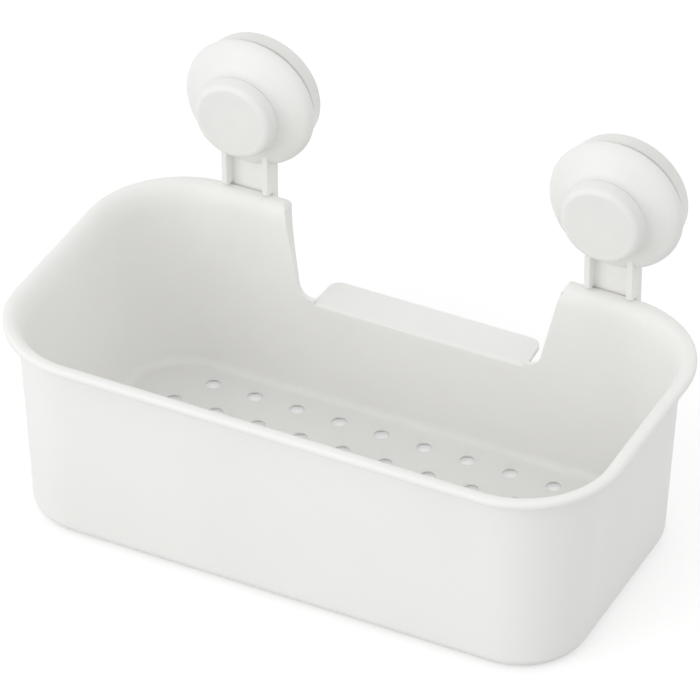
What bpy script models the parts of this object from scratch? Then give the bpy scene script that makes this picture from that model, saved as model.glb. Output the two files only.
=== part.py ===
# Suction basket: a drained plastic tub that hangs on two arms with twist-lock suction cups.
# Metres, +Z up. The wall is behind the tub at +Y, the user stands at -Y.
# Z is 0 at the underside of the tub, X and Y are 0 at the middle of the whole object.
from math import atan, cos, pi, radians, sin, sqrt, tan

import bmesh
import bpy
from mathutils import Matrix, Vector

# Tub
RIM_WIDTH = 0.280
RIM_DEPTH = 0.1532
TUB_HEIGHT = 0.094
RIM_CORNER_RADIUS = 0.0445
LIP_OVERHANG = 0.0062
LIP_TOP_WIDTH = 0.0034
LIP_THICKNESS = 0.0034
LIP_ROUNDING = 0.0012
LIP_FLARE_HEIGHT = 0.010
WALL = 0.0022
FLOOR = 0.0030
WALL_DRAFT = 0.0040
SIDE_DRAFT = 0.0062
BASE_CORNER_RADIUS = 0.030
BASE_FILLET = 0.006

# Drain holes
HOLE_DIAMETER = 0.0062
HOLE_PITCH = 0.0204
HOLE_ROW_PITCH = 0.0175
HOLE_END_MARGIN = 0.0215
HOLE_SIDE_MARGIN = 0.010

# Cut-out in the back wall, and the lip folded back from its lower edge
CUT_DROP = 0.0424
CUT_TOP_HALF_WIDTH = 0.0639
CUT_BOTTOM_HALF_WIDTH = 0.0566
CUT_FILLET = 0.0065
EAR_ROUNDING = 0.0045
EAR_LIFT = 0.0001
EAR_RIB_THICKNESS = 0.0022
EAR_RIB_REACH = 0.0056
EAR_RIB_LENGTH = 0.030
SHELF_DROP = 0.0437
SHELF_THICKNESS = 0.0022
SHELF_FRONT_HALF_WIDTH = 0.0505
SHELF_BACK_HALF_WIDTH = 0.0498
SHELF_SETBACK = 0.0035
SHELF_CORNER_RADIUS = 0.005
SHELF_ROOT_RADIUS = 0.001
SHELF_FOLD_STEP = 0.0004

# Suction units
CUP_SPACING = 0.1708
CUP_HEIGHT_OVER_RIM = 0.0432
CUP_STANDOFF = 0.0129
DISC_STANDOFF = 0.01085
DISC_LIP_RADIUS = 0.0277
DISC_SHOULDER_RADIUS = 0.0283
DISC_LIP_WIDTH = 0.0021
DISC_EDGE_SETBACK = 0.0033
DISC_DISH_DEPTH = 0.0049
PULL_TRAVEL = 0.004
HOUSING_DEPTH = 0.00825
HOUSING_RIM_RADIUS = 0.0303
HOUSING_RIM_WALL = 0.0012
HOUSING_NECK_RADIUS = 0.0186
HOUSING_NECK_WALL = 0.0016
HOUSING_NECK_RISE = 0.0036
HOUSING_PLATE = 0.0022
HOUSING_BORE_RADIUS = 0.005
WASHER_RADIUS = 0.0100
WASHER_BORE_RADIUS = 0.0036
WASHER_THICKNESS = 0.0008
WASHER_RECESS_DEPTH = 0.0005
KNOB_HEIGHT = 0.00665
KNOB_FACE_RADIUS = 0.0175
KNOB_REAR_RADIUS = 0.0188
KNOB_ROUNDING = 0.0023
KNOB_FACE_WALL = 0.0019
KNOB_SIDE_WALL = 0.0018
KNOB_BOSS_RADIUS = 0.0082
KNOB_BOSS_SETBACK = 0.0004
STUD_RADIUS = 0.003
STUD_FLANGE_RADIUS = 0.007
STUD_FLANGE_THICKNESS = 0.002
STUD_COVER = 0.0019
INSERT_RADIUS = 0.0042
INSERT_COLLAR_RADIUS = 0.005
INSERT_LENGTH = 0.0056

# Arms
ARM_WIDTH = 0.0218
ARM_DEPTH = 0.0104
ARM_SETBACK = 0.0076
ARM_RIB = 0.0024
ARM_WEB = 0.0017
ARM_FOOT_HEIGHT = 0.0055
ARM_WEB_DROP = 0.0034
ARM_STEP = 0.0002
RIB_TIP_ROUNDING = 0.0026
TONGUE_WIDTH = 0.018
TONGUE_THICKNESS = 0.0027
BARB_REACH = 0.0015
TONGUE_DROP = 0.0010
BARB_LENGTH = 0.0058
BARB_TIP = 0.0010

# Sockets behind the rim that take the arms' tongues
SOCKET_DROP = 0.009
SOCKET_HEIGHT = 0.013
SOCKET_BACK_WALL = 0.0018
SOCKET_SIDE_WALL = 0.0039
SOCKET_CROSS_WALL = 0.0017
SOCKET_POCKET_SIDE = 0.002

# Clearances
GAP = 0.0003
SLOT_GAP = 0.0003
DISC_ARM_GAP = 0.001
OVERRUN = 0.002
BITE = 0.001

# Facets
CORNER_STEPS = 6
FILLET_STEPS = 3
ROUND_STEPS = 32
SMALL_STEPS = 20
HOLE_STEPS = 8

# The bell of the housing from neck to rim, outside and inside: radius share, depth share
BELL_SHARES = (
    (0.0, 0.0), (0.025, 0.10), (0.11, 0.21), (0.26, 0.30), (0.48, 0.41),
    (0.71, 0.53), (0.88, 0.675), (0.975, 0.84), (1.0, 1.0))
HOLLOW_SHARES = (
    (0.0, 0.0), (0.06, 0.02), (0.16, 0.08), (0.30, 0.17), (0.48, 0.30),
    (0.70, 0.46), (0.87, 0.65), (0.965, 0.84), (1.0, 1.0))

# The dish on the back of the disc from its edge to its middle: radius share, depth share
DISH_SHARES = ((1.0, 0.0), (0.96, 0.14), (0.78, 0.56), (0.47, 0.92), (0.0, 1.0))

# The rib behind the edge of an ear below the lip: share of the way down, share of its reach
EAR_RIB_SHARES = ((0.15, 0.78), (0.45, 0.46), (0.79, 0.23), (1.0, 0.08))

# Places that follow from the sizes
DEPTH = RIM_DEPTH + CUP_STANDOFF
BACK = DEPTH / 2
FRONT = -DEPTH / 2
TUB_CENTRE = FRONT + RIM_DEPTH / 2
RIM_BACK = FRONT + RIM_DEPTH
CUP_Z = TUB_HEIGHT + CUP_HEIGHT_OVER_RIM
HOUSING_RIM_Y = BACK - DISC_STANDOFF
HOUSING_FACE_Y = HOUSING_RIM_Y - HOUSING_DEPTH
PLATE_INNER_Y = HOUSING_FACE_Y + HOUSING_PLATE
RECESS_Y = HOUSING_FACE_Y + WASHER_RECESS_DEPTH
NECK_TOP_Y = HOUSING_FACE_Y - HOUSING_NECK_RISE
NECK_BORE_RADIUS = HOUSING_NECK_RADIUS - HOUSING_NECK_WALL
BELL_BORE_RADIUS = HOUSING_RIM_RADIUS - HOUSING_RIM_WALL
KNOB_REAR_Y = NECK_TOP_Y - GAP
KNOB_FACE_Y = KNOB_REAR_Y - KNOB_HEIGHT
KNOB_INNER_Y = KNOB_FACE_Y + KNOB_FACE_WALL
BOSS_REAR_Y = RECESS_Y - WASHER_THICKNESS - 2 * GAP - KNOB_BOSS_SETBACK
DISC_FRONT_Y = PLATE_INNER_Y + PULL_TRAVEL + GAP
STUD_TIP_Y = KNOB_INNER_Y + PULL_TRAVEL + GAP
FLANGE_FRONT_Y = DISC_FRONT_Y + STUD_COVER
ARM_BACK_Y = BACK - ARM_SETBACK
ARM_FRONT_Y = ARM_BACK_Y - ARM_DEPTH
ARM_TOP_Z = CUP_Z - DISC_SHOULDER_RADIUS - DISC_ARM_GAP
SLOT_FRONT_Y = ARM_BACK_Y - TONGUE_THICKNESS - SLOT_GAP
SLOT_BACK_Y = ARM_BACK_Y + SLOT_GAP
SOCKET_TOP_Z = TUB_HEIGHT - SOCKET_DROP
SOCKET_BOTTOM_Z = SOCKET_TOP_Z - SOCKET_HEIGHT
SIDES = (("left", -1), ("right", 1))


def clear_scene():
    for item in list(bpy.data.objects):
        bpy.data.objects.remove(item, do_unlink=True)


def make_material(name, color, roughness, metallic=0.0):
    material = bpy.data.materials.new(name)
    material.use_nodes = True
    shader = material.node_tree.nodes["Principled BSDF"]
    shader.inputs["Base Color"].default_value = (*color, 1.0)
    shader.inputs["Roughness"].default_value = roughness
    shader.inputs["Metallic"].default_value = metallic
    return material


def add_object(name, bm, material=None, sharp_angle=35):
    """Turns a bmesh into an object, with its faces pointing out."""
    bmesh.ops.recalc_face_normals(bm, faces=bm.faces)
    mesh = bpy.data.meshes.new(name)
    bm.to_mesh(mesh)
    bm.free()
    mesh.shade_smooth()
    mesh.set_sharp_from_angle(angle=radians(sharp_angle))
    item = bpy.data.objects.new(name, mesh)
    bpy.context.scene.collection.objects.link(item)
    if material:
        mesh.materials.append(material)
    return item


def add_tool(name, bm):
    """A body that only cuts or joins another one."""
    tool = add_object(name, bm)
    tool.hide_render = True
    tool.display_type = "WIRE"
    return tool


def combine(item, tool, operation):
    modifier = item.modifiers.new(tool.name, "BOOLEAN")
    modifier.operation = operation
    modifier.solver = "EXACT"
    modifier.object = tool


def rounded_outline(half_x, half_y, radius, steps):
    """Points round a rectangle with round corners, anticlockwise."""
    points = []
    corners = ((1, 1, 0), (-1, 1, pi / 2), (-1, -1, pi), (1, -1, 3 * pi / 2))
    for side_x, side_y, start in corners:
        centre = Vector((side_x * (half_x - radius), side_y * (half_y - radius)))
        for step in range(steps + 1):
            angle = start + step / steps * pi / 2
            points.append(centre + radius * Vector((cos(angle), sin(angle))))
    return points


def arc(centre, radius, start, end, steps):
    """Points on an arc in a plane, angles in radians."""
    points = []
    for step in range(steps + 1):
        angle = start + (end - start) * step / steps
        points.append((centre[0] + radius * cos(angle), centre[1] + radius * sin(angle)))
    return points


def turned(profile, steps):
    """A closed body turned about Y from points (radius, y) that start and end on the axis."""
    bm = bmesh.new()
    verts = [bm.verts.new((radius, y, 0)) for radius, y in profile]
    edges = [bm.edges.new(pair) for pair in zip(verts, verts[1:])]
    if profile[0][0] > 0:
        edges.append(bm.edges.new((verts[-1], verts[0])))
    bmesh.ops.spin(bm, geom=verts + edges, cent=(0, 0, 0), axis=(0, 1, 0), angle=2 * pi, steps=steps, use_merge=True)
    bmesh.ops.remove_doubles(bm, verts=bm.verts, dist=GAP / 1000)
    return bm


def prism(outline, direction, place):
    """A closed body from a flat outline of 3-D points, pushed along a direction."""
    bm = bmesh.new()
    face = bm.faces.new([bm.verts.new(Vector(place) + Vector(point)) for point in outline])
    pushed = bmesh.ops.extrude_face_region(bm, geom=[face], use_keep_orig=True)
    moved = [part for part in pushed["geom"] if isinstance(part, bmesh.types.BMVert)]
    bmesh.ops.translate(bm, vec=direction, verts=moved)
    return bm


def block(low, high):
    bm = bmesh.new()
    size = Vector(high) - Vector(low)
    middle = (Vector(high) + Vector(low)) / 2
    bmesh.ops.create_cube(bm, size=1, matrix=Matrix.Translation(middle) @ Matrix.Diagonal((*size, 1)))
    return bm


def wall_inset(height):
    """How far the outer face of a wall lies inside the edge of the lip."""
    return LIP_OVERHANG + WALL_DRAFT * (1 - height / TUB_HEIGHT)


def wall_radius(height):
    """Corner radius of the outer face of the walls at a height."""
    top = RIM_CORNER_RADIUS - LIP_OVERHANG
    return BASE_CORNER_RADIUS + (top - BASE_CORNER_RADIUS) * height / TUB_HEIGHT


def tub_sections():
    """Sections of the tub from the underside, up the outside, over the lip and down to the floor."""
    sections = []
    # base fillet
    for step in range(FILLET_STEPS + 1):
        angle = step / FILLET_STEPS * pi / 2
        inward = BASE_FILLET * (1 - sin(angle))
        height = BASE_FILLET * (1 - cos(angle))
        sections.append((wall_inset(height) + inward, wall_radius(height) - inward, height))
    # outside of the wall and underside of the lip
    under = TUB_HEIGHT - LIP_THICKNESS
    sections.append((wall_inset(under), wall_radius(under), under))
    sections.append((LIP_ROUNDING / 2, RIM_CORNER_RADIUS - LIP_ROUNDING / 2, under))
    sections.append((0, RIM_CORNER_RADIUS, under + LIP_ROUNDING / 2))
    # rounded top edge of the lip
    for step in range(FILLET_STEPS + 1):
        angle = step / FILLET_STEPS * pi / 2
        inset = LIP_ROUNDING * (1 - cos(angle))
        sections.append((inset, RIM_CORNER_RADIUS - inset, TUB_HEIGHT - LIP_ROUNDING * (1 - sin(angle))))
    # flare from the lip into the inner face of the wall
    low = TUB_HEIGHT - LIP_FLARE_HEIGHT
    reach = wall_inset(low) + WALL - LIP_TOP_WIDTH
    for step in range(FILLET_STEPS + 1):
        angle = step / FILLET_STEPS * pi / 2
        inset = LIP_TOP_WIDTH + reach * sin(angle)
        sections.append((inset, RIM_CORNER_RADIUS - inset, TUB_HEIGHT - LIP_FLARE_HEIGHT * (1 - cos(angle))))
    # inner fillet to the floor
    inner_fillet = BASE_FILLET - WALL
    for step in range(FILLET_STEPS + 1):
        angle = step / FILLET_STEPS * pi / 2
        height = FLOOR + inner_fillet * (1 - sin(angle))
        inset = wall_inset(height) + WALL + inner_fillet * (1 - cos(angle))
        radius = wall_radius(height) - WALL - inner_fillet * (1 - cos(angle))
        sections.append((inset, radius, height))
    return sections


def make_tub_shell(material):
    bm = bmesh.new()
    loops = []
    for inset, radius, height in tub_sections():
        # the end walls lean in more than the long ones
        end_inset = inset
        if inset >= LIP_OVERHANG:
            end_inset += (SIDE_DRAFT - WALL_DRAFT) * (1 - height / TUB_HEIGHT)
        outline = rounded_outline(RIM_WIDTH / 2 - end_inset, RIM_DEPTH / 2 - inset, radius, CORNER_STEPS)
        loops.append([bm.verts.new((point.x, point.y + TUB_CENTRE, height)) for point in outline])
    for lower, upper in zip(loops, loops[1:]):
        for corners in zip(lower, lower[1:] + lower[:1], upper[1:] + upper[:1], upper):
            bm.faces.new(corners)
    bm.faces.new(loops[0])
    bm.faces.new(loops[-1])
    return add_object("tub", bm, material)


def make_hole_cutter():
    """Staggered drain holes, as many as the floor takes inside its margins."""
    bm = bmesh.new()
    depth = FLOOR + 2 * OVERRUN
    across = RIM_WIDTH - 2 * (LIP_OVERHANG + SIDE_DRAFT + WALL + HOLE_END_MARGIN)
    along = RIM_DEPTH - 2 * (LIP_OVERHANG + WALL_DRAFT + WALL + HOLE_SIDE_MARGIN)
    rows = int(along / HOLE_ROW_PITCH) + 1
    for row in range(rows):
        count = int(across / HOLE_PITCH) + 1 - (row + 1) % 2
        y = TUB_CENTRE + (row - (rows - 1) / 2) * HOLE_ROW_PITCH
        for column in range(count):
            x = (column - (count - 1) / 2) * HOLE_PITCH
            place = Matrix.Translation((x, y, FLOOR / 2)) @ Matrix.Rotation(pi / HOLE_STEPS, 4, "Z")
            bmesh.ops.create_cone(
                bm, cap_ends=True, segments=HOLE_STEPS, radius1=HOLE_DIAMETER / 2,
                radius2=HOLE_DIAMETER / 2, depth=depth, matrix=place)
    return add_tool("hole_cutter", bm)


def make_back_cutter():
    """The gap between the ears: leaning sides, round lower corners, rounded ear tips."""
    lean = atan((CUT_TOP_HALF_WIDTH - CUT_BOTTOM_HALF_WIDTH) / CUT_DROP)
    bottom = TUB_HEIGHT - CUT_DROP
    back_off = CUT_FILLET * tan((pi / 2 - lean) / 2)
    fillet_centre = (CUT_BOTTOM_HALF_WIDTH - back_off, bottom + CUT_FILLET)
    half = arc(fillet_centre, CUT_FILLET, -pi / 2, -lean, FILLET_STEPS * 2)
    tip_off = EAR_ROUNDING * tan((pi / 2 + lean) / 2)
    tip_centre = (CUT_TOP_HALF_WIDTH + tip_off, TUB_HEIGHT - EAR_ROUNDING + EAR_LIFT)
    half += arc(tip_centre, EAR_ROUNDING, pi - lean, pi / 2, FILLET_STEPS)
    half.append((tip_centre[0], TUB_HEIGHT + OVERRUN))
    outline = half + [(-x, z) for x, z in reversed(half)]
    inside = RIM_BACK - wall_inset(0) - WALL - OVERRUN
    cutter = prism([(x, 0, z) for x, z in outline], (0, RIM_BACK + OVERRUN - inside, 0), (0, inside, 0))
    return add_tool("back_cutter", cutter)


def cut_half_width(z):
    """Half the width of the cut-out on its leaning sides at a height."""
    drop = (TUB_HEIGHT - z) / CUT_DROP
    return CUT_TOP_HALF_WIDTH + (CUT_BOTTOM_HALF_WIDTH - CUT_TOP_HALF_WIDTH) * drop


def make_ear_rib(side, sign):
    """Carries the lip down behind the edge of an ear and runs out into the wall."""
    under = TUB_HEIGHT - LIP_THICKNESS
    rows = [(under + BITE, 1)] + [(under - EAR_RIB_LENGTH * down, reach) for down, reach in EAR_RIB_SHARES]
    outline = [(RIM_BACK - wall_inset(z) + EAR_RIB_REACH * reach, z) for z, reach in rows]
    for z in (rows[-1][0], rows[0][0]):
        outline.append((RIM_BACK - wall_inset(z) - WALL / 2, z))
    points = [(sign * (cut_half_width(z) + EAR_RIB_THICKNESS), y, z) for y, z in outline]
    rib = prism(points, (-sign * (EAR_RIB_THICKNESS + BITE), 0, 0), (0, 0, 0))
    return add_tool("ear_rib_" + side, rib)


def make_shelf():
    """The lip folded back from the lower edge of the cut-out; its edge meets the wall."""
    top = TUB_HEIGHT - SHELF_DROP
    front = RIM_BACK - wall_inset(top) - WALL + SHELF_FOLD_STEP
    back = BACK - SHELF_SETBACK
    corner = (SHELF_BACK_HALF_WIDTH - SHELF_CORNER_RADIUS, back - SHELF_CORNER_RADIUS)
    root = (SHELF_FRONT_HALF_WIDTH + SHELF_ROOT_RADIUS, RIM_BACK - wall_inset(top) + SHELF_ROOT_RADIUS)
    half = [(root[0], front)]
    half += arc(root, SHELF_ROOT_RADIUS, 3 * pi / 2, pi, FILLET_STEPS)
    half += arc(corner, SHELF_CORNER_RADIUS, 0, pi / 2, FILLET_STEPS)
    outline = half + [(-x, y) for x, y in reversed(half)]
    shelf = prism([(x, y, 0) for x, y in outline], (0, 0, SHELF_THICKNESS), (0, 0, top - SHELF_THICKNESS))
    return add_tool("shelf", shelf)


def make_socket(side, sign):
    """A box on the back of an ear, with a slot for the tongue and a hollow in front of it."""
    x = sign * CUP_SPACING / 2
    half = TONGUE_WIDTH / 2 + SLOT_GAP + SOCKET_SIDE_WALL
    wall_face = RIM_BACK - wall_inset(SOCKET_BOTTOM_Z)
    box = add_tool("socket_" + side, block(
        (x - half, wall_face - WALL / 2, SOCKET_BOTTOM_Z),
        (x + half, SLOT_BACK_Y + SOCKET_BACK_WALL, SOCKET_TOP_Z)))
    slot_half = TONGUE_WIDTH / 2 + SLOT_GAP
    slot = add_tool("socket_slot_" + side, block(
        (x - slot_half, SLOT_FRONT_Y, SOCKET_BOTTOM_Z - OVERRUN),
        (x + slot_half, SLOT_BACK_Y, SOCKET_TOP_Z + OVERRUN)))
    pocket_half = half - SOCKET_POCKET_SIDE
    pocket = add_tool("socket_pocket_" + side, block(
        (x - pocket_half, RIM_BACK - wall_inset(TUB_HEIGHT) + BITE, SOCKET_BOTTOM_Z - OVERRUN),
        (x + pocket_half, SLOT_FRONT_Y - SOCKET_CROSS_WALL, SOCKET_TOP_Z + OVERRUN)))
    return box, slot, pocket


def make_tub(material):
    tub = make_tub_shell(material)
    for side, sign in SIDES:
        combine(tub, make_ear_rib(side, sign), "UNION")
    combine(tub, make_hole_cutter(), "DIFFERENCE")
    combine(tub, make_back_cutter(), "DIFFERENCE")
    combine(tub, make_shelf(), "UNION")
    for side, sign in SIDES:
        box, slot, pocket = make_socket(side, sign)
        combine(tub, box, "UNION")
        combine(tub, slot, "DIFFERENCE")
        combine(tub, pocket, "DIFFERENCE")
    return tub


def shared_profile(shares, start, end):
    """Points (radius, y) from start to end, placed by shares of the way in each direction."""
    return [(start[0] + (end[0] - start[0]) * u, start[1] + (end[1] - start[1]) * v) for u, v in shares]


def bell_outside():
    return shared_profile(BELL_SHARES, (HOUSING_NECK_RADIUS, NECK_TOP_Y), (HOUSING_RIM_RADIUS, HOUSING_RIM_Y))


def bell_inside():
    return shared_profile(HOLLOW_SHARES, (NECK_BORE_RADIUS, PLATE_INNER_Y), (BELL_BORE_RADIUS, HOUSING_RIM_Y))


def make_housing_profile():
    recess = WASHER_RADIUS + GAP
    front = [
        (HOUSING_BORE_RADIUS, RECESS_Y), (recess, RECESS_Y), (recess, HOUSING_FACE_Y),
        (NECK_BORE_RADIUS, HOUSING_FACE_Y), (NECK_BORE_RADIUS, NECK_TOP_Y)]
    return front + bell_outside() + bell_inside()[::-1] + [(HOUSING_BORE_RADIUS, PLATE_INNER_Y)]


def make_rib(side, x_low, x_high):
    """One flange of the arm: a round tip over the lip, a foot behind it, a top that runs into the dome."""
    foot_front = RIM_BACK + GAP
    foot_z = SOCKET_TOP_Z + GAP
    tip_z = TUB_HEIGHT + GAP
    tip_centre = (ARM_FRONT_Y + RIB_TIP_ROUNDING, tip_z + RIB_TIP_ROUNDING)
    across = (ARM_WIDTH - ARM_RIB) / 2
    # the middle of the bell's wall, where the flange of the arm ends
    middle = [((a + c) / 2, (b + d) / 2) for (a, b), (c, d) in zip(bell_outside(), bell_inside())]
    slope = [(y, CUP_Z - sqrt(radius ** 2 - across ** 2)) for radius, y in middle if y > ARM_FRONT_Y]
    outline = [(foot_front, foot_z), (foot_front, tip_z)]
    outline += arc(tip_centre, RIB_TIP_ROUNDING, 3 * pi / 2, pi, FILLET_STEPS)
    outline += [(ARM_FRONT_Y, slope[0][1])] + slope
    outline += [(HOUSING_RIM_Y, ARM_TOP_Z), (ARM_BACK_Y, ARM_TOP_Z), (ARM_BACK_Y, foot_z)]
    rib = prism([(0, y, z) for y, z in outline], (x_high - x_low, 0, 0), (x_low, 0, 0))
    return add_tool(side + "_rib", rib)


def make_tongue(side, x):
    """The tongue that goes down through the socket, with a barb that catches under its cross wall."""
    front = ARM_BACK_Y - TONGUE_THICKNESS
    catch = SOCKET_BOTTOM_Z - GAP
    top = TUB_HEIGHT - TONGUE_DROP
    end = catch - BARB_LENGTH
    outline = [
        (ARM_BACK_Y, top), (front, top), (front, catch), (front - BARB_REACH, catch),
        (front - BARB_REACH, catch - BARB_REACH), (front, end + BARB_TIP), (front + BARB_TIP, end), (ARM_BACK_Y, end)]
    tongue = prism([(0, y, z) for y, z in outline], (TONGUE_WIDTH, 0, 0), (x - TONGUE_WIDTH / 2, 0, 0))
    return add_tool("tongue_" + side, tongue)


def make_suction_arm(side, sign, material):
    """Domed cup housing and channel-section arm, moulded in one."""
    x = sign * CUP_SPACING / 2
    arm = add_object("suction_arm_" + side, turned(make_housing_profile(), ROUND_STEPS), material)
    arm.location = (x, 0, CUP_Z)
    half = ARM_WIDTH / 2
    inner = half - ARM_RIB
    combine(arm, make_rib("outer_" + side, x - half, x - inner), "UNION")
    combine(arm, make_rib("inner_" + side, x + inner, x + half), "UNION")
    web_front = RIM_BACK + GAP
    web_low = TUB_HEIGHT - ARM_WEB_DROP
    web = add_tool("web_" + side, block(
        (x - inner - BITE, web_front, web_low),
        (x + inner + BITE, web_front + ARM_WEB, ARM_TOP_Z - ARM_STEP)))
    combine(arm, web, "UNION")
    foot = add_tool("foot_" + side, block(
        (x - inner - BITE, web_front + ARM_STEP, web_low + ARM_STEP),
        (x + inner + BITE, ARM_BACK_Y - ARM_STEP, web_low + ARM_FOOT_HEIGHT)))
    combine(arm, foot, "UNION")
    combine(arm, make_tongue(side, x), "UNION")
    return arm


def make_suction_disc(side, sign, material):
    """Soft disc: a dished cup with a flat lip, round the flange of the stud."""
    scale = DISC_SHOULDER_RADIUS / BELL_BORE_RADIUS
    edge_y = HOUSING_RIM_Y + DISC_EDGE_SETBACK
    front = [(radius * scale, y + PULL_TRAVEL + GAP) for radius, y in bell_inside()]
    front = [(radius, y) for radius, y in front if y < edge_y] + [(DISC_SHOULDER_RADIUS, edge_y)]
    hole = STUD_RADIUS + GAP
    pocket = STUD_FLANGE_RADIUS + GAP
    pocket_back = FLANGE_FRONT_Y + STUD_FLANGE_THICKNESS + GAP
    profile = [(0, pocket_back), (pocket, pocket_back), (pocket, FLANGE_FRONT_Y - GAP), (hole, FLANGE_FRONT_Y - GAP)]
    profile += [(hole, DISC_FRONT_Y)] + front + [(DISC_LIP_RADIUS, BACK)]
    dish_radius = DISC_LIP_RADIUS - DISC_LIP_WIDTH
    profile += [(dish_radius * share, BACK - DISC_DISH_DEPTH * depth) for share, depth in DISH_SHARES]
    disc = add_object("suction_disc_" + side, turned(profile, ROUND_STEPS), material)
    disc.location = (sign * CUP_SPACING / 2, 0, CUP_Z)
    return disc


def make_stud(side, sign, material):
    profile = [
        (0, STUD_TIP_Y), (STUD_RADIUS, STUD_TIP_Y), (STUD_RADIUS, FLANGE_FRONT_Y),
        (STUD_FLANGE_RADIUS, FLANGE_FRONT_Y), (STUD_FLANGE_RADIUS, FLANGE_FRONT_Y + STUD_FLANGE_THICKNESS),
        (0, FLANGE_FRONT_Y + STUD_FLANGE_THICKNESS)]
    stud = add_object("threaded_stud_" + side, turned(profile, SMALL_STEPS), material)
    stud.location = (sign * CUP_SPACING / 2, 0, CUP_Z)
    return stud


def insert_places():
    """Front, collar front, collar back and back of the threaded insert."""
    back = BOSS_REAR_Y - GAP
    front = back - INSERT_LENGTH
    third = INSERT_LENGTH / 3
    return front, front + third, back - third, back


def make_knob(side, sign, material):
    """Hollow knob with a smooth face and a boss that holds the threaded insert."""
    front, collar_front, collar_back, back = insert_places()
    seat = INSERT_RADIUS + GAP
    collar = INSERT_COLLAR_RADIUS + GAP
    stud_hole = STUD_RADIUS + 2 * GAP
    rounding_centre = (KNOB_FACE_RADIUS - KNOB_ROUNDING, KNOB_FACE_Y + KNOB_ROUNDING)
    profile = [(0, KNOB_FACE_Y)]
    profile += arc(rounding_centre, KNOB_ROUNDING, -pi / 2, 0, FILLET_STEPS)
    profile += [
        (KNOB_REAR_RADIUS, KNOB_REAR_Y), (KNOB_REAR_RADIUS - KNOB_SIDE_WALL, KNOB_REAR_Y),
        (KNOB_FACE_RADIUS - KNOB_SIDE_WALL, KNOB_INNER_Y), (KNOB_BOSS_RADIUS, KNOB_INNER_Y),
        (KNOB_BOSS_RADIUS, BOSS_REAR_Y), (seat, BOSS_REAR_Y), (seat, collar_back + GAP),
        (collar, collar_back + GAP), (collar, collar_front - GAP), (seat, collar_front - GAP),
        (seat, front - GAP), (stud_hole, front - GAP), (stud_hole, KNOB_INNER_Y), (0, KNOB_INNER_Y)]
    knob = add_object("knob_" + side, turned(profile, ROUND_STEPS), material)
    knob.location = (sign * CUP_SPACING / 2, 0, CUP_Z)
    return knob


def make_insert(side, sign, material):
    front, collar_front, collar_back, back = insert_places()
    bore = STUD_RADIUS + GAP
    profile = [
        (bore, front), (INSERT_RADIUS, front), (INSERT_RADIUS, collar_front), (INSERT_COLLAR_RADIUS, collar_front),
        (INSERT_COLLAR_RADIUS, collar_back), (INSERT_RADIUS, collar_back), (INSERT_RADIUS, back), (bore, back)]
    insert = add_object("threaded_insert_" + side, turned(profile, SMALL_STEPS), material)
    insert.location = (sign * CUP_SPACING / 2, 0, CUP_Z)
    return insert


def make_washer(side, sign, material):
    back = RECESS_Y - GAP
    front = back - WASHER_THICKNESS
    profile = [(WASHER_BORE_RADIUS, front), (WASHER_RADIUS, front), (WASHER_RADIUS, back), (WASHER_BORE_RADIUS, back)]
    washer = add_object("slip_washer_" + side, turned(profile, SMALL_STEPS), material)
    washer.location = (sign * CUP_SPACING / 2, 0, CUP_Z)
    return washer


def main():
    clear_scene()
    plastic = make_material("white plastic", (0.86, 0.86, 0.85), 0.42)
    soft = make_material("soft white cup", (0.80, 0.80, 0.80), 0.30)
    steel = make_material("stud steel", (0.62, 0.62, 0.63), 0.30, 1.0)
    brass = make_material("insert brass", (0.78, 0.60, 0.30), 0.35, 1.0)
    slip = make_material("slip washer", (0.75, 0.76, 0.78), 0.50)
    make_tub(plastic)
    for side, sign in SIDES:
        make_suction_arm(side, sign, plastic)
        make_knob(side, sign, plastic)
        make_insert(side, sign, brass)
        make_washer(side, sign, slip)
        make_suction_disc(side, sign, soft)
        make_stud(side, sign, steel)


main()
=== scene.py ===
from math import atan, cos, pi, radians, sin, sqrt, tan

import bmesh
import bpy
from mathutils import Matrix, Vector
from mathutils.geometry import interpolate_bezier


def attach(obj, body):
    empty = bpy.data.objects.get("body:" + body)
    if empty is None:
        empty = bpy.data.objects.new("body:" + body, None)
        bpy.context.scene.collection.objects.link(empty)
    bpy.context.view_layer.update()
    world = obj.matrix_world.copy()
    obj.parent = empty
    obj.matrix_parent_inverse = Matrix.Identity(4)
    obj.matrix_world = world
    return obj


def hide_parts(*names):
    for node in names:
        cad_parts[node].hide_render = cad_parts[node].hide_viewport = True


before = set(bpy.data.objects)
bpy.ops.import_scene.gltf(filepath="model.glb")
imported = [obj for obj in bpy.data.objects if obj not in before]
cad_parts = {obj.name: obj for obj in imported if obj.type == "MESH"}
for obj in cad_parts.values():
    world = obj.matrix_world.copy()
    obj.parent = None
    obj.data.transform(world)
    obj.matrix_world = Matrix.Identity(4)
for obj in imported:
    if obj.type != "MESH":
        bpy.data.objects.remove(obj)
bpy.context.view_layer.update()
print("frame loaded:", len(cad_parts), "nodes")

sides = (("left", -1), ("right", 1))
overlap = 0.001  # how far joined shapes reach into each other
clear = 0.002  # how far a cutter reaches past what it cuts
sliver = 0.0002  # how far a hidden face stays off the plane of its neighbour
near = 0.000001  # places closer than this are the same
ringNear = 0.00001  # the same for points on a circle
weldDistance = 0.000002  # joins the points that a boolean leaves side by side
poleDistance = 0.0000005  # joins the points that a spin leaves on its axis
levelFace = 0.9  # the least z in the normal of a level face
sharpAngle = 38
turnSegments = 96
edgeSegments = 2  # for the smallest roundings

# camera, fitted to the photograph

photoView = {
    "turn": 26.53, "height": 36.28, "distance": 2.610, "lens": 323.5, "sensor": 36, "farthest": 20,
    "aim": (0, -0.00645, 0.094), "offsetRight": -0.00072, "offsetUp": -0.00673,
}


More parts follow.
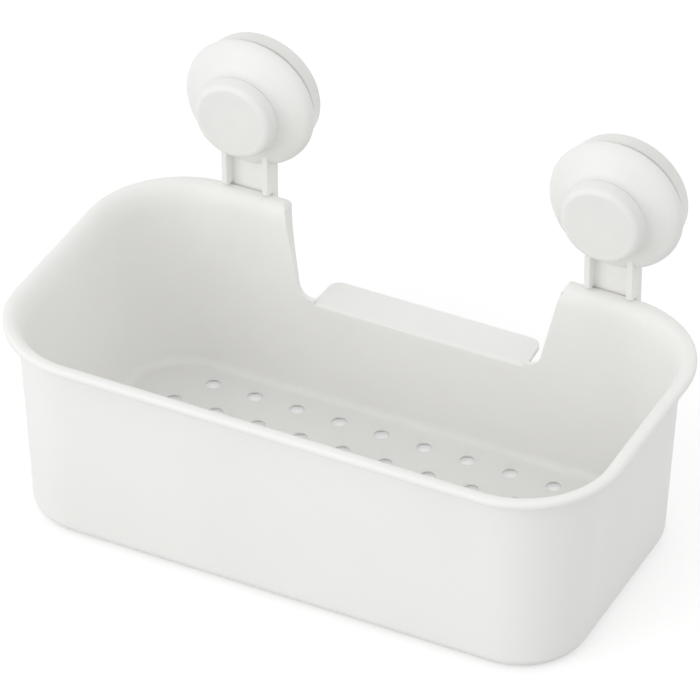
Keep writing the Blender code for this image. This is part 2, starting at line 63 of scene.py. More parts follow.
def makeCamera():
    turn, height = radians(photoView["turn"]), radians(photoView["height"])
    back = Vector((sin(turn) * cos(height), -cos(turn) * cos(height), sin(height)))
    right = Vector((cos(turn), sin(turn), 0))
    up = back.cross(right)
    place = Vector(photoView["aim"]) + back * photoView["distance"]
    place += right * -photoView["offsetRight"] + up * photoView["offsetUp"]
    camera = bpy.data.objects.new("photoCamera", bpy.data.cameras.new("photoCamera"))
    camera.data.lens = photoView["lens"]
    camera.data.sensor_width = photoView["sensor"]
    camera.data.clip_end = photoView["farthest"]
    bpy.context.scene.collection.objects.link(camera)
    camera.matrix_world = Matrix.Translation(place) @ Matrix((right, up, back)).transposed().to_4x4()
    bpy.context.scene.camera = camera


# materials

toneSpan = (0.35, 0.65)  # the noise values at which a surface has its dark and its light tone


def newMaterial(name):
    material = bpy.data.materials.new(name)
    material.use_nodes = True
    return material, material.node_tree, material.node_tree.nodes["Principled BSDF"]


def addNoise(tree, scale, detail, coords):
    noise = tree.nodes.new("ShaderNodeTexNoise")
    noise.inputs["Scale"].default_value = scale
    noise.inputs["Detail"].default_value = detail
    tree.links.new(coords.outputs["Object"], noise.inputs["Vector"])
    return noise


# base colour that drifts slowly between the two tones of a look
def addTone(tree, shader, coords, look):
    cloud = addNoise(tree, look["cloud"], look["cloudDetail"], coords)
    ramp = tree.nodes.new("ShaderNodeValToRGB")
    for i, tone in enumerate((look["dark"], look["light"])):
        ramp.color_ramp.elements[i].position = toneSpan[i]
        ramp.color_ramp.elements[i].color = (*tone, 1)
    tree.links.new(cloud.outputs["Fac"], ramp.inputs["Fac"])
    tree.links.new(ramp.outputs["Color"], shader.inputs["Base Color"])
    return cloud


def addBump(tree, shader, source, look):
    bump = tree.nodes.new("ShaderNodeBump")
    bump.inputs["Strength"].default_value = look["bump"]
    bump.inputs["Distance"].default_value = look["bumpDepth"]
    tree.links.new(source, bump.inputs["Height"])
    tree.links.new(bump.outputs["Normal"], shader.inputs["Normal"])


def addRoughness(tree, shader, source, look):
    spread = tree.nodes.new("ShaderNodeMapRange")
    spread.inputs["To Min"].default_value, spread.inputs["To Max"].default_value = look["rough"]
    tree.links.new(source, spread.inputs["Value"])
    tree.links.new(spread.outputs["Result"], shader.inputs["Roughness"])


plastic = {
    "dark": (0.886, 0.883, 0.861), "light": (0.911, 0.908, 0.886), "cloud": 14, "cloudDetail": 3,
    "grain": 2600, "grainDetail": 2, "bump": 0.25, "bumpDepth": 0.00002, "rough": (0.38, 0.50),
    "refraction": 1.48, "scatter": 0.25, "scatterReach": (0.006, 0.006, 0.0056),
}
softCup = {
    "dark": (0.80, 0.80, 0.775), "light": (0.845, 0.845, 0.82), "cloud": 40, "cloudDetail": 2,
    "grain": 900, "grainDetail": 2, "bump": 0.15, "bumpDepth": 0.000002, "rough": (0.30, 0.36),
    "refraction": 1.5, "scatter": 0.10, "scatterReach": (0.002, 0.002, 0.002),
}


def makeMoulded(name, look):
    material, tree, shader = newMaterial(name)
    coords = tree.nodes.new("ShaderNodeTexCoord")
    addTone(tree, shader, coords, look)
    grain = addNoise(tree, look["grain"], look["grainDetail"], coords)  # fine satin grain of the mould
    addBump(tree, shader, grain.outputs["Fac"], look)
    addRoughness(tree, shader, grain.outputs["Fac"], look)
    shader.inputs["IOR"].default_value = look["refraction"]
    shader.inputs["Subsurface Weight"].default_value = look["scatter"]
    shader.inputs["Subsurface Radius"].default_value = look["scatterReach"]
    shader.inputs["Subsurface Scale"].default_value = 1
    return material


steel = {
    "dark": (0.50, 0.50, 0.52), "light": (0.62, 0.62, 0.64), "cloud": 350, "cloudDetail": 3,
    "grooves": 500, "bump": 0.6, "bumpDepth": 0.0002, "rough": (0.25, 0.40),
}
brass = {
    "dark": (0.68, 0.50, 0.24), "light": (0.80, 0.62, 0.33), "cloud": 350, "cloudDetail": 3,
    "grooves": 900, "bump": 0.6, "bumpDepth": 0.0002, "rough": (0.25, 0.40),
}


def makeTurnedMetal(name, look):
    material, tree, shader = newMaterial(name)
    coords = tree.nodes.new("ShaderNodeTexCoord")
    cloud = addTone(tree, shader, coords, look)
    lathe = tree.nodes.new("ShaderNodeTexWave")  # tool marks and threads round the Y axis
    lathe.bands_direction = "Y"
    lathe.inputs["Scale"].default_value = look["grooves"]
    tree.links.new(coords.outputs["Object"], lathe.inputs["Vector"])
    addBump(tree, shader, lathe.outputs["Fac"], look)
    addRoughness(tree, shader, cloud.outputs["Fac"], look)
    shader.inputs["Metallic"].default_value = 1
    return material


slipWasher = {
    "dark": (0.70, 0.71, 0.73), "light": (0.76, 0.77, 0.79), "cloud": 300, "cloudDetail": 2,
    "bump": 0.2, "bumpDepth": 0.00003, "rough": (0.40, 0.55),
}


def makeSlipPlastic(name, look):
    material, tree, shader = newMaterial(name)
    coords = tree.nodes.new("ShaderNodeTexCoord")
    cloud = addTone(tree, shader, coords, look)
    addBump(tree, shader, cloud.outputs["Fac"], look)
    addRoughness(tree, shader, cloud.outputs["Fac"], look)
    return material


# shared mesh steps

# points on an arc from one angle to another
def arcPoints(centre, radius, start, end, steps):
    angles = [start + (end - start) * i / steps for i in range(steps + 1)]
    return [(centre[0] + radius * cos(angle), centre[1] + radius * sin(angle)) for angle in angles]


# the outline of a rectangle with round corners, from above
def roundedRectangle(halfX, halfY, centreY, radius, segments):
    outline = []
    for quarter, (x, y) in enumerate(((1, 1), (-1, 1), (-1, -1), (1, -1))):
        centre = (x * (halfX - radius), centreY + y * (halfY - radius))
        outline += arcPoints(centre, radius, quarter * pi / 2, (quarter + 1) * pi / 2, segments)
    return outline


# points on a smooth bend
def curve(start, startPull, endPull, end, steps):
    points = interpolate_bezier(*(Vector((*point, 0)) for point in (start, startPull, endPull, end)), steps)
    return [(point.x, point.y) for point in points]


# what an operator made, of one kind
def madeOnly(made, kind):
    return [part for part in made["geom"] if isinstance(part, kind)]


# the edges that lie at this y, and at this z where one is given
def edgesAt(bm, y, z=None):
    return [
        e for e in bm.edges
        if all(abs(v.co.y - y) < near and (z is None or abs(v.co.z - z) < near) for v in e.verts)]


def edgeRise(edge):
    return abs(edge.verts[0].co.z - edge.verts[1].co.z)


def roundEdges(bm, edges, offset, segments):
    bmesh.ops.bevel(
        bm, geom=list(edges), offset=offset, offset_type="OFFSET", segments=segments, profile=0.5,
        affect="EDGES", material=-1, clamp_overlap=True)


# rounds the circular edge at this radius and y
def roundRing(bm, radius, y, offset, segments):
    ring = [
        e for e in bm.edges
        if all(abs(v.co.y - y) < ringNear and abs(sqrt(v.co.x ** 2 + v.co.z ** 2) - radius) < ringNear
               for v in e.verts)]
    roundEdges(bm, ring, offset, segments)


# a closed solid from a few flat corners pushed along a direction
def pushedShape(corners, direction):
    bm = bmesh.new()
    verts = [bm.verts.new(corner) for corner in corners]
    rim = [bm.edges.new(pair) for pair in zip(verts, verts[1:] + verts[:1])]  # keeps the order of a hollow outline
    face = bmesh.ops.contextual_create(bm, geom=rim)["faces"][0]
    pushed = bmesh.ops.extrude_face_region(bm, geom=[face], use_keep_orig=True)
    bmesh.ops.translate(bm, vec=direction, verts=madeOnly(pushed, bmesh.types.BMVert))
    bmesh.ops.recalc_face_normals(bm, faces=bm.faces)
    return bm


# spins points (radius, y) about Y into a closed solid
def turnedShape(profile):
    bm = bmesh.new()
    verts = [bm.verts.new((radius, y, 0)) for radius, y in profile]
    edges = [bm.edges.new(pair) for pair in zip(verts, verts[1:])]
    if profile[0][0] > 0:
        edges.append(bm.edges.new((verts[-1], verts[0])))
    bmesh.ops.spin(
        bm, geom=verts + edges, cent=(0, 0, 0), axis=(0, 1, 0), angle=2 * pi, steps=turnSegments, use_merge=True)
    bmesh.ops.remove_doubles(bm, verts=bm.verts, dist=poleDistance)
    bmesh.ops.recalc_face_normals(bm, faces=bm.faces)
    return bm


def boxShape(low, high):
    bm = bmesh.new()
    low, high = Vector(low), Vector(high)
    place = Matrix.Translation((low + high) / 2) @ Matrix.Diagonal((*(high - low), 1))
    bmesh.ops.create_cube(bm, size=1, matrix=place)
    return bm


def linkedObject(name, bm):
    mesh = bpy.data.meshes.new(name)
    bm.to_mesh(mesh)
    bm.free()
    item = bpy.data.objects.new(name, mesh)
    bpy.context.scene.collection.objects.link(item)
    return item


def solidObject(name, bm):
    bmesh.ops.recalc_face_normals(bm, faces=bm.faces)
    return linkedObject(name, bm)


# joins shapes to a solid and cuts shapes out of it, in order, and gives back one bmesh
def joinAndCut(bm, steps):
    main = solidObject("workPiece", bm)
    tools = []
    for operation, shape in steps:
        tool = solidObject("workTool", shape)
        tools.append(tool)
        step = main.modifiers.new("step", "BOOLEAN")
        step.operation = operation
        step.solver = "EXACT"
        step.object = tool
    bpy.context.view_layer.update()
    finished = bpy.data.meshes.new_from_object(main.evaluated_get(bpy.context.evaluated_depsgraph_get()))
    result = bmesh.new()
    result.from_mesh(finished)
    for item in tools + [main]:
        bpy.data.objects.remove(item)
    bpy.data.meshes.remove(finished)
    bmesh.ops.remove_doubles(result, verts=result.verts, dist=weldDistance)
    return result


def finishPiece(name, bm, body, material, nodes):
    piece = solidObject(name, bm)
    mesh = piece.data
    mesh.materials.append(material)
    mesh.shade_smooth()
    mesh.set_sharp_from_angle(angle=radians(sharpAngle))
    flat = piece.modifiers.new("flat faces stay flat", "WEIGHTED_NORMAL")
    flat.keep_sharp = True
    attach(piece, body)
    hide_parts(*nodes)
    print("made", name, "faces", len(mesh.polygons))


# tub

tub = {
    "width": 0.280, "depth": 0.1532, "height": 0.094, "centreY": -0.00645, "rimCorner": 0.0445,
    "lipReach": 0.0062, "lipThickness": 0.0034, "lipRounding": 0.0017, "lipTop": 0.0027, "lipRoot": 0.0024,
    "flareHeight": 0.011, "flareSteps": 10, "wall": 0.0022, "floor": 0.0030, "draft": 0.0040, "endDraft": 0.0062,
    "baseCorner": 0.030, "baseFillet": 0.006, "cornerSegments": 24, "baseSegments": 8, "rootSegments": 6,
    "lipLowSegments": 3, "lipHighSegments": 5, "insideSegments": 6,
}
holes = {
    "across": 0.0062, "pitch": 0.0204, "rowPitch": 0.0175, "rows": 7, "inLongRow": 11, "sides": 28,
    "softness": 0.0004, "softRise": 0.6, "softSpread": 0.3, "edgeSpread": 1.3,
    "coneHeight": 0.0022, "coneSpread": 0.0030,
}
cutOut = {
    "drop": 0.0424, "topHalf": 0.0639, "bottomHalf": 0.0566, "fillet": 0.0065, "earRounding": 0.0045,
    "lift": 0.0001, "steps": 14, "trimHalf": 0.0495, "trimFront": 0.003, "trimBack": 0.006,
    "ribThickness": 0.0022, "ribReach": 0.0056, "ribLength": 0.030,
    "ribFade": ((0, 1), (0.12, 0.70), (0.5, 0.30), (1, 0.06)),
}
shelf = {
    "drop": 0.0437, "thickness": 0.0022, "frontHalf": 0.0505, "backHalf": 0.0498, "backY": 0.07955,
    "lift": 0.00005, "corner": 0.0050, "root": 0.0010, "fold": 0.0020, "foldSegments": 8,
    "leg": 0.004, "legShare": 0.7, "rearStart": 0.006, "rearAngle": 1, "rearRounding": 0.0007, "rearSegments": 3,
}
socket = {
    "top": 0.085, "bottom": 0.072, "slotFront": 0.07245, "slotBack": 0.07575, "backWall": 0.0018,
    "slotHalf": 0.0093, "sideWall": 0.0039, "crossWall": 0.0017, "pocketSide": 0.002,
    "rounding": 0.0012, "segments": 4,
}
cupSpacing = 0.1708
cupHeight = 0.1372
backY = 0.08305
rimBackY = tub["centreY"] + tub["depth"] / 2


def wallInset(z):
    return tub["lipReach"] + tub["draft"] * (1 - z / tub["height"])


def wallCorner(z):
    top = tub["rimCorner"] - tub["lipReach"]
    return tub["baseCorner"] + (top - tub["baseCorner"]) * z / tub["height"]


def tubShell():
    bm = bmesh.new()
    under = tub["height"] - tub["lipThickness"]
    # inset from the edge of the lip, corner radius and height of each ring, up the outside and down the inside
    rows = [
        (wallInset(0), wallCorner(0), 0),
        (wallInset(under), wallCorner(under), under),
        (0, tub["rimCorner"], under),
        (0, tub["rimCorner"], tub["height"]),
    ]
    low = tub["height"] - tub["flareHeight"]
    reach = wallInset(low) + tub["wall"] - tub["lipTop"]
    for step in range(tub["flareSteps"] + 1):
        angle = step / tub["flareSteps"] * pi / 2
        inset = tub["lipTop"] + reach * sin(angle)
        rows.append((inset, tub["rimCorner"] - inset, tub["height"] - tub["flareHeight"] * (1 - cos(angle))))
    floor = tub["floor"]
    rows.append((wallInset(floor) + tub["wall"], wallCorner(floor) - tub["wall"], floor))
    # the rings that are rounded, with offset and segments
    roundings = {
        0: (tub["baseFillet"], tub["baseSegments"]),
        1: (tub["lipRoot"], tub["rootSegments"]),
        2: (tub["lipRounding"] / 2, tub["lipLowSegments"]),
        3: (tub["lipRounding"], tub["lipHighSegments"]),
        len(rows) - 1: (tub["baseFillet"] - tub["wall"], tub["insideSegments"]),
    }
    mark = bm.edges.layers.int.new("ring")
    loops = []
    for row, (inset, corner, z) in enumerate(rows):
        halfX = tub["width"] / 2 - inset
        if inset >= tub["lipReach"]:  # the end walls lean in more than the long ones
            halfX -= (tub["endDraft"] - tub["draft"]) * (1 - z / tub["height"])
        loop = roundedRectangle(halfX, tub["depth"] / 2 - inset, tub["centreY"], corner, tub["cornerSegments"])
        verts = [bm.verts.new((x, y, z)) for x, y in loop]
        for pair in zip(verts, verts[1:] + verts[:1]):
            bm.edges.new(pair)[mark] = row + 1
        loops.append(verts)
    for lower, upper in zip(loops, loops[1:]):
        for corners in zip(lower, lower[1:] + lower[:1], upper[1:] + upper[:1], upper):
            bmesh.ops.contextual_create(bm, geom=corners)
    for ring in (loops[0], loops[-1]):
        bmesh.ops.contextual_create(bm, geom=ring)
    bmesh.ops.recalc_face_normals(bm, faces=bm.faces)
    for row, (offset, segments) in roundings.items():
        roundEdges(bm, [edge for edge in bm.edges if edge[mark] == row + 1], offset, segments)
    return bm


# one cutter for all drain holes, each with a soft upper edge and a cone below
def holeCutters():
    bm = bmesh.new()
    soft, cone, radius = holes["softness"], holes["coneHeight"], holes["across"] / 2
    place = (tub["floor"] - soft + cone) / 2
    # how far each step of the flare goes on and widens, upwards and downwards
    upper = ((holes["softRise"] * soft, holes["softSpread"] * soft), (soft, holes["edgeSpread"] * soft))
    flares = {1: upper, -1: ((cone + soft, holes["coneSpread"]),)}
    for row in range(holes["rows"]):
        count = holes["inLongRow"] - (row + 1) % 2
        y = tub["centreY"] + (row - (holes["rows"] - 1) / 2) * holes["rowPitch"]
        for column in range(count):
            x = (column - (count - 1) / 2) * holes["pitch"]
            made = bmesh.ops.create_cone(
                bm, cap_ends=True, segments=holes["sides"], radius1=radius, radius2=radius,
                depth=tub["floor"] - soft - cone, matrix=Matrix.Translation((x, y, place)))
            faces = dict.fromkeys(f for v in made["verts"] for f in v.link_faces)  # each once, always in this order
            for cap in [f for f in faces if abs(f.normal.z) > levelFace]:
                up = 1 if cap.normal.z > 0 else -1
                for rise, grow in flares[up]:
                    centre = cap.calc_center_median()
                    moved = bmesh.ops.extrude_face_region(bm, geom=[cap])
                    verts = madeOnly(moved, bmesh.types.BMVert)
                    bmesh.ops.delete(bm, geom=[cap], context="FACES_ONLY")
                    cap = madeOnly(moved, bmesh.types.BMFace)[0]
                    bmesh.ops.translate(bm, vec=(0, 0, up * rise), verts=verts)
                    capRadius = (verts[0].co.xy - centre.xy).length
                    factor = (capRadius + grow) / capRadius
                    bmesh.ops.scale(bm, vec=(factor, factor, 1), space=Matrix.Translation(-centre), verts=verts)
    return bm


# the gap between the ears: leaning sides, round lower corners and rounded ear tips
def backCutter():
    top, bottom = tub["height"], tub["height"] - cutOut["drop"]
    lean = atan((cutOut["topHalf"] - cutOut["bottomHalf"]) / cutOut["drop"])
    fillet, tip = cutOut["fillet"], cutOut["earRounding"]
    filletX = cutOut["bottomHalf"] - fillet * tan((pi / 2 - lean) / 2)
    tipX = cutOut["topHalf"] + tip * tan((pi / 2 + lean) / 2)
    right = arcPoints((filletX, bottom + fillet), fillet, -pi / 2, -lean, cutOut["steps"])
    right += arcPoints((tipX, top - tip + cutOut["lift"]), tip, pi - lean, pi / 2, cutOut["steps"])
    right.append((tipX, top + clear))
    outline = right + [(-x, z) for x, z in reversed(right)]
    y = rimBackY - wallInset(0) - tub["wall"] - clear
    return pushedShape([(x, y, z) for x, z in outline], (0, rimBackY + clear - y, 0))


# carries the lip down behind the edge of an ear and runs out into the wall
def earRib(sign):
    under = tub["height"] - tub["lipThickness"]
    rows = [(under + overlap, 1)]
    fade = curve(*cutOut["ribFade"], cutOut["steps"])
    rows += [(under - cutOut["ribLength"] * down, reach) for down, reach in fade[1:]]
    outline = [(rimBackY - wallInset(z) + cutOut["ribReach"] * reach, z) for z, reach in rows]
    outline += [(rimBackY - wallInset(z) - tub["wall"] / 2, z) for z in (rows[-1][0], rows[0][0])]
    lean = (cutOut["topHalf"] - cutOut["bottomHalf"]) / cutOut["drop"]
    thick = cutOut["ribThickness"]
    corners = [(sign * (cutOut["topHalf"] - lean * (tub["height"] - z) + thick), y, z) for y, z in outline]
    return pushedShape(corners, (-sign * (thick + overlap), 0, 0))


# the lip folded back from the cut-out, with a round fold and a short leg in the wall
def foldedShelf():
    top = tub["height"] - shelf["drop"]
    low = top - shelf["thickness"]
    front = rimBackY - wallInset(top) - tub["wall"] - shelf["lift"]
    root, corner, steps = shelf["root"], shelf["corner"], cutOut["steps"]
    rootX = shelf["frontHalf"] + root
    right = [(rootX, front)]
    right += arcPoints((rootX, rimBackY - wallInset(top) + root), root, 3 * pi / 2, pi, steps)
    right += arcPoints((shelf["backHalf"] - corner, shelf["backY"] - corner), corner, 0, pi / 2, steps)
    outline = right + [(-x, y) for x, y in reversed(right)]
    bm = pushedShape([(x, y, low) for x, y in outline], (0, 0, shelf["thickness"]))
    # leg down into the wall, along its slope
    legBack = (0, front + tub["wall"] * shelf["legShare"], 0)
    bmesh.ops.bisect_plane(bm, geom=bm.verts[:] + bm.edges[:] + bm.faces[:], plane_co=legBack, plane_no=(0, 1, 0))
    bmesh.ops.recalc_face_normals(bm, faces=bm.faces)
    under = [f for f in bm.faces if f.normal.z < -levelFace and f.calc_center_median().y < front + tub["wall"]]
    leg = bmesh.ops.extrude_face_region(bm, geom=under)
    slope = tub["draft"] / tub["height"]
    bmesh.ops.translate(
        bm, vec=(0, -slope * shelf["leg"], -shelf["leg"]), verts=madeOnly(leg, bmesh.types.BMVert))
    bmesh.ops.delete(bm, geom=under, context="FACES_ONLY")
    bmesh.ops.recalc_face_normals(bm, faces=bm.faces)
    roundEdges(bm, edgesAt(bm, front, top), shelf["fold"], shelf["foldSegments"])
    rear = [
        e for e in bm.edges
        if all(v.co.y > front + shelf["rearStart"] for v in e.verts) and edgeRise(e) < near
        and e.calc_face_angle(0) > shelf["rearAngle"]]
    roundEdges(bm, rear, shelf["rearRounding"], shelf["rearSegments"])
    return bm


# takes the wall's own edge away under the round fold
def wallTrim():
    top = tub["height"] - shelf["drop"]
    half = cutOut["trimHalf"]
    low = top - shelf["thickness"] + sliver
    y = rimBackY - wallInset(top) - tub["wall"]
    return boxShape((-half, y - cutOut["trimFront"], low), (half, y + cutOut["trimBack"], top + clear))


# the box behind the rim that takes an arm's tongue, its slot and the pocket in front of that
def socketShapes(sign):
    x = sign * cupSpacing / 2
    low, high = socket["bottom"], socket["top"]
    half = socket["slotHalf"] + socket["sideWall"]
    box = boxShape(
        (x - half, rimBackY - wallInset(low) - tub["wall"] / 2, low),
        (x + half, socket["slotBack"] + socket["backWall"], high))
    upright = [e for e in box.edges if edgeRise(e) > near and e.verts[0].co.y > socket["slotBack"]]
    roundEdges(box, upright, socket["rounding"], socket["segments"])
    slot = boxShape(
        (x - socket["slotHalf"], socket["slotFront"], low - clear),
        (x + socket["slotHalf"], socket["slotBack"], high + clear))
    pocketHalf = half - socket["pocketSide"]
    pocket = boxShape(
        (x - pocketHalf, rimBackY - wallInset(tub["height"]) + overlap, low - clear),
        (x + pocketHalf, socket["slotFront"] - socket["crossWall"], high + clear))
    return [("UNION", box), ("DIFFERENCE", slot), ("DIFFERENCE", pocket)]


def makeTub(material):
    steps = [("UNION", earRib(sign)) for side, sign in sides]
    steps += [("DIFFERENCE", cutter()) for cutter in (holeCutters, backCutter, wallTrim)]
    steps.append(("UNION", foldedShelf()))
    for side, sign in sides:
        steps += socketShapes(sign)
    bm = joinAndCut(tubShell(), steps)
    finishPiece("tub_moulding", bm, "basket", material, ["tub"])


# arm and bell of each suction unit

bell = {
    "neck": 0.0186, "neckTop": 0.06035, "face": 0.06395, "rim": 0.0303, "rimY": 0.0722, "rimWall": 0.0012,
    "neckWall": 0.0016, "plate": 0.0022, "bore": 0.005, "recess": 0.0103, "recessDepth": 0.0005,
    "bow": 0.41, "rimPull": 0.0025, "platePull": 0.004, "outsideSteps": 28, "insideSteps": 14,
    "rimRounding": 0.0004, "neckRounding": 0.0003,
}
armPart = {
    "width": 0.0218, "frontY": 0.06505, "backY": 0.07545, "rib": 0.0024, "web": 0.0017, "tipRounding": 0.0026,
    "tipZ": 0.0943, "footZ": 0.0853, "footY": 0.07045, "topZ": 0.1079, "footTop": 0.0961, "webLow": 0.0906,
    "tongueWidth": 0.018, "tongueThickness": 0.0027, "tongueTop": 0.093, "catch": 0.0717, "barb": 0.0015,
    "barbLength": 0.0058, "barbTip": 0.001, "softness": 0.0004, "tipSegments": 8, "softSegments": 3, "longEdge": 0.002,
}


def moveToCup(bm, sign):
    bmesh.ops.translate(bm, vec=(sign * cupSpacing / 2, 0, cupHeight), verts=bm.verts)


# the outer line of the dome, or one inside its wall
def domeLine(inset, steps):
    neck, rim = bell["neck"] - inset, bell["rim"] - inset
    length = bell["rimY"] - bell["neckTop"]
    return curve(
        (neck, bell["neckTop"]), (neck, bell["neckTop"] + bell["bow"] * length),
        (rim, bell["rimY"] - (1 - bell["bow"]) * length), (rim, bell["rimY"]), steps)


def bellProfile():
    inner = bell["neck"] - bell["neckWall"]
    rimInside = bell["rim"] - bell["rimWall"]
    plateY = bell["face"] + bell["plate"]
    recessY = bell["face"] + bell["recessDepth"]
    hollow = curve(
        (rimInside, bell["rimY"]), (rimInside, bell["rimY"] - bell["rimPull"]),
        (inner + bell["platePull"], plateY), (inner, plateY), bell["insideSteps"])
    return [
        (bell["bore"], recessY), (bell["recess"], recessY), (bell["recess"], bell["face"]), (inner, bell["face"]),
        (inner, bell["neckTop"])] + domeLine(0, bell["outsideSteps"]) + hollow + [(bell["bore"], plateY)]


# one side of the channel: round tip over the lip, foot behind it, top inside the bell's wall
def ribShape(xLow, xHigh):
    part = armPart
    across = (part["width"] - part["rib"]) / 2
    line = domeLine(bell["neckWall"] / 2, bell["insideSteps"])
    slope = [(y, cupHeight - sqrt(radius ** 2 - across ** 2)) for radius, y in line if y > part["frontY"]]
    corners = [
        (part["footY"], part["footZ"]), (part["footY"], part["tipZ"]), (part["frontY"], part["tipZ"]),
        (part["frontY"], slope[0][1])] + slope
    corners += [(bell["rimY"], part["topZ"]), (part["backY"], part["topZ"]), (part["backY"], part["footZ"])]
    bm = pushedShape([(xLow, y, z) for y, z in corners], (xHigh - xLow, 0, 0))
    roundEdges(bm, edgesAt(bm, part["frontY"], part["tipZ"]), part["tipRounding"], part["tipSegments"])
    long = [e for e in edgesAt(bm, part["frontY"]) if edgeRise(e) > part["longEdge"]]
    roundEdges(bm, long, part["softness"], part["softSegments"])
    return bm


def tongueShape(x):
    part = armPart
    front = part["backY"] - part["tongueThickness"]
    end = part["catch"] - part["barbLength"]
    corners = [
        (part["backY"], part["tongueTop"]), (front, part["tongueTop"]), (front, part["catch"]),
        (front - part["barb"], part["catch"]), (front - part["barb"], part["catch"] - part["barb"]),
        (front, end + part["barbTip"]), (front + part["barbTip"], end), (part["backY"], end)]
    low = x - part["tongueWidth"] / 2
    return pushedShape([(low, y, z) for y, z in corners], (part["tongueWidth"], 0, 0))


def makeArm(side, sign, material):
    part = armPart
    x = sign * cupSpacing / 2
    half = part["width"] / 2
    inner = half - part["rib"]
    body = turnedShape(bellProfile())
    roundRing(body, bell["rim"], bell["rimY"], bell["rimRounding"], edgeSegments)
    roundRing(body, bell["neck"], bell["neckTop"], bell["neckRounding"], edgeSegments)
    moveToCup(body, sign)
    low, high = x - inner - overlap, x + inner + overlap
    web = boxShape(
        (low, part["footY"], part["webLow"]), (high, part["footY"] + part["web"], part["topZ"] - sliver))
    foot = boxShape(
        (low, part["footY"] + sliver, part["webLow"] + sliver), (high, part["backY"] - sliver, part["footTop"]))
    steps = [
        ("UNION", ribShape(x - half, x - inner)), ("UNION", ribShape(x + inner, x + half)),
        ("UNION", web), ("UNION", foot), ("UNION", tongueShape(x))]
    bm = joinAndCut(body, steps)
    finishPiece("suction_arm_moulding_" + side, bm, "basket", material, ["suction_arm_" + side])


# knob

knob = {
    "face": 0.0175, "rear": 0.0188, "faceY": 0.0534, "rearY": 0.06005, "rounding": 0.0023, "segments": 8,
    "faceWall": 0.0019, "sideWall": 0.0018, "boss": 0.0082, "bossRearY": 0.06265, "seat": 0.0045,
    "collar": 0.0053, "collarFront": 0.05832, "collarBack": 0.06079, "seatFront": 0.05645, "studHole": 0.0036,
    "rearRounding": 0.0003,
}


def makeKnob(side, sign, material):
    innerY = knob["faceY"] + knob["faceWall"]
    profile = [
        (0, knob["faceY"]), (knob["face"], knob["faceY"]), (knob["rear"], knob["rearY"]),
        (knob["rear"] - knob["sideWall"], knob["rearY"]), (knob["face"] - knob["sideWall"], innerY),
        (knob["boss"], innerY), (knob["boss"], knob["bossRearY"]), (knob["seat"], knob["bossRearY"]),
        (knob["seat"], knob["collarBack"]), (knob["collar"], knob["collarBack"]), (knob["collar"], knob["collarFront"]),
        (knob["seat"], knob["collarFront"]), (knob["seat"], knob["seatFront"]), (knob["studHole"], knob["seatFront"]),
        (knob["studHole"], innerY), (0, innerY)]
    bm = turnedShape(profile)
    roundRing(bm, knob["face"], knob["faceY"], knob["rounding"], knob["segments"])
    roundRing(bm, knob["rear"], knob["rearY"], knob["rearRounding"], edgeSegments)
    moveToCup(bm, sign)
    finishPiece("knob_moulding_" + side, bm, side + "_knob", material, ["knob_" + side])


# suction disc

disc = {
    "front": 0.07045, "edge": 0.0755, "shoulder": 0.0283, "lip": 0.0277, "lipWidth": 0.0021, "travel": 0.0043,
    "dish": 0.0049, "dishPull": 0.002, "dishShare": 0.9, "dishMiddle": 0.012, "dishSteps": 18,
    "hole": 0.0033, "pocket": 0.0073, "pocketFront": 0.07205, "pocketBack": 0.07465,
    "lipRounding": 0.0004, "shoulderRounding": 0.0003,
}


# the front follows the inside of the bell, and the back is a shallow dish
def makeDisc(side, sign, material):
    shoulder = disc["shoulder"]
    scale = shoulder / (bell["rim"] - bell["rimWall"])
    inner = (bell["neck"] - bell["neckWall"]) * scale
    edgeY = bell["rimY"] + disc["travel"]
    front = curve(
        (inner, disc["front"]), (inner + bell["platePull"], disc["front"]),
        (shoulder, edgeY - bell["rimPull"]), (shoulder, edgeY), bell["insideSteps"])
    front = [(radius, y) for radius, y in front if y < disc["edge"]] + [(shoulder, disc["edge"])]
    dishEdge, deepest = disc["lip"] - disc["lipWidth"], backY - disc["dish"]
    dish = curve(
        (dishEdge, backY), (dishEdge - disc["dishPull"], backY - disc["dish"] * disc["dishShare"]),
        (disc["dishMiddle"], deepest), (0, deepest), disc["dishSteps"])
    profile = [
        (0, disc["pocketBack"]), (disc["pocket"], disc["pocketBack"]), (disc["pocket"], disc["pocketFront"]),
        (disc["hole"], disc["pocketFront"]), (disc["hole"], disc["front"])] + front + [(disc["lip"], backY)] + dish
    bm = turnedShape(profile)
    roundRing(bm, disc["lip"], backY, disc["lipRounding"], edgeSegments)
    roundRing(bm, shoulder, disc["edge"], disc["shoulderRounding"], edgeSegments)
    moveToCup(bm, sign)
    finishPiece(
        "suction_disc_moulding_" + side, bm, side + "_cup", material, ["suction_disc_" + side])


# floor and light

light = {
    "worldStrength": 0.86, "keyPower": 16.0, "keySize": 2.0, "keyPlace": (-1.1, -2.1, 1.0),
    "floorSize": 6, "floorShade": 0.65, "floorGlow": 0.45, "floorRoughness": 0.9, "floorShine": 0.2,
}
white = (1, 1, 1, 1)


# 1 for the camera and for what metal and gloss mirror, 0 for the light that falls on the object
def seenRays(tree):
    path = tree.nodes.new("ShaderNodeLightPath")
    total = path.outputs["Is Camera Ray"]
    for ray in ("Is Glossy Ray", "Is Transmission Ray"):
        either = tree.nodes.new("ShaderNodeMath")
        either.operation = "MAXIMUM"
        tree.links.new(total, either.inputs[0])
        tree.links.new(path.outputs[ray], either.inputs[1])
        total = either.outputs[0]
    return total


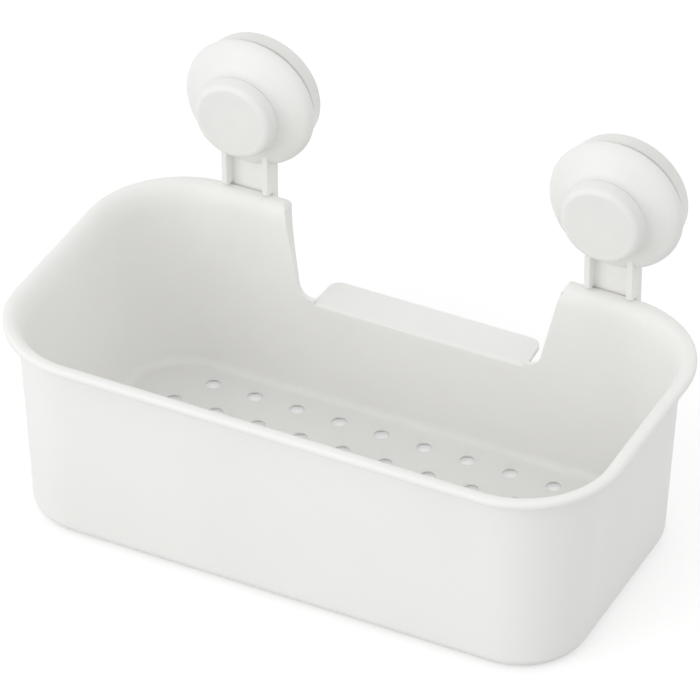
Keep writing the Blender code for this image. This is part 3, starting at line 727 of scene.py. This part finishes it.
def makeFloor():
    bm = bmesh.new()
    bmesh.ops.create_grid(bm, x_segments=1, y_segments=1, size=light["floorSize"])
    floor = linkedObject("paleFloor", bm)
    material, tree, shader = newMaterial("pale floor")
    shader.inputs["Base Color"].default_value = (light["floorShade"],) * 3 + (1,)
    shader.inputs["Roughness"].default_value = light["floorRoughness"]
    shader.inputs["Specular IOR Level"].default_value = light["floorShine"]
    seen = tree.nodes.new("ShaderNodeMath")
    seen.operation = "MULTIPLY"
    seen.inputs[1].default_value = light["floorGlow"]
    tree.links.new(seenRays(tree), seen.inputs[0])
    shader.inputs["Emission Color"].default_value = white
    tree.links.new(seen.outputs[0], shader.inputs["Emission Strength"])
    floor.data.materials.append(material)


# soft light for the object, plain white for what sees the sky
def makeWorld():
    world = bpy.data.worlds.new("pale studio")
    world.use_nodes = True
    tree = world.node_tree
    tree.nodes.clear()
    mix = tree.nodes.new("ShaderNodeMixShader")
    tree.links.new(seenRays(tree), mix.inputs["Fac"])
    for place, strength in ((1, light["worldStrength"]), (2, 1)):
        sky = tree.nodes.new("ShaderNodeBackground")
        sky.inputs["Color"].default_value = white
        sky.inputs["Strength"].default_value = strength
        tree.links.new(sky.outputs["Background"], mix.inputs[place])
    out = tree.nodes.new("ShaderNodeOutputWorld")
    tree.links.new(mix.outputs["Shader"], out.inputs["Surface"])
    bpy.context.scene.world = world


def makeKeyLight():
    lamp = bpy.data.lights.new("softBox", "AREA")
    lamp.shape = "DISK"
    lamp.size = light["keySize"]
    lamp.energy = light["keyPower"]
    item = bpy.data.objects.new("softBox", lamp)
    place = Vector(light["keyPlace"])
    turn = (place - Vector(photoView["aim"])).to_track_quat("Z", "Y")
    item.matrix_world = Matrix.Translation(place) @ turn.to_matrix().to_4x4()
    bpy.context.scene.collection.objects.link(item)


def repaintNode(name, material):
    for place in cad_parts[name].material_slots:
        place.material = material


makeCamera()
makeFloor()
makeWorld()
makeKeyLight()
bpy.context.scene.view_settings.view_transform = "Standard"
print("camera, floor and light are set")

whitePlastic = makeMoulded("white moulded plastic", plastic)
softPlastic = makeMoulded("soft cup plastic", softCup)
studSteel = makeTurnedMetal("stud steel", steel)
insertBrass = makeTurnedMetal("insert brass", brass)
slipPlastic = makeSlipPlastic("slip washer plastic", slipWasher)
makeTub(whitePlastic)
for side, sign in sides:
    makeArm(side, sign, whitePlastic)
    makeKnob(side, sign, whitePlastic)
    makeDisc(side, sign, softPlastic)
    repaintNode("threaded_stud_" + side, studSteel)
    repaintNode("threaded_insert_" + side, insertBrass)
    repaintNode("slip_washer_" + side, slipPlastic)
print("pieces are finished")
